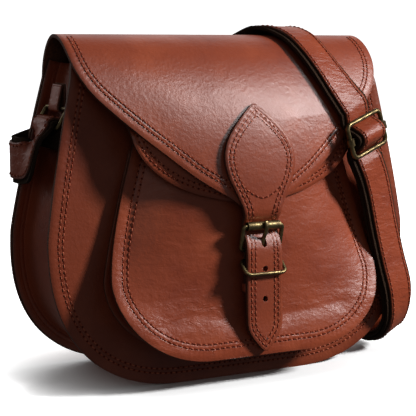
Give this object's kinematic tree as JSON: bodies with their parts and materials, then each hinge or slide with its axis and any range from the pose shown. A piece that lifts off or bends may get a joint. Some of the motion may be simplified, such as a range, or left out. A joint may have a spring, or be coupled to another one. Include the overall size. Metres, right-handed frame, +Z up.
{
  "type": "crossbody bag",
  "caption": "Leather crossbody bag with a pointed flap closed by a buckled tab, an outer pocket with its own flap and a leather-faced webbing shoulder strap.",
  "frame": {"origin": "on the floor under the middle of the bag's outline", "axes": "+X to the bag's right as seen from the front, +Y towards the back, +Z up"},
  "size_m": [0.2758, 0.1072, 0.2246],
  "materials": {
    "leather": "semi-gloss brown",
    "brass": "aged, dull",
    "webbing": "woven, matt"
  },
  "bodies": {
    "root": {"front_panel": "leather", "back_and_flap": "leather", "gusset": "leather", "pocket_panel": "leather", "pocket_gusset": "leather", "pocket_flap": "leather", "closure_tab": "leather", "buckle_chape": "leather", "chape_band": "leather", "ring_tab_left": "leather", "ring_tab_right": "leather", "strap_leather": "leather", "buckle_frame": "brass", "buckle_roller": "brass", "buckle_prong": "brass", "keeper_loop": "brass", "ring_left": "brass", "ring_right": "brass", "slide_frame": "brass", "slide_bar": "brass", "strap_webbing": "webbing"}
  },
  "joints": []
}
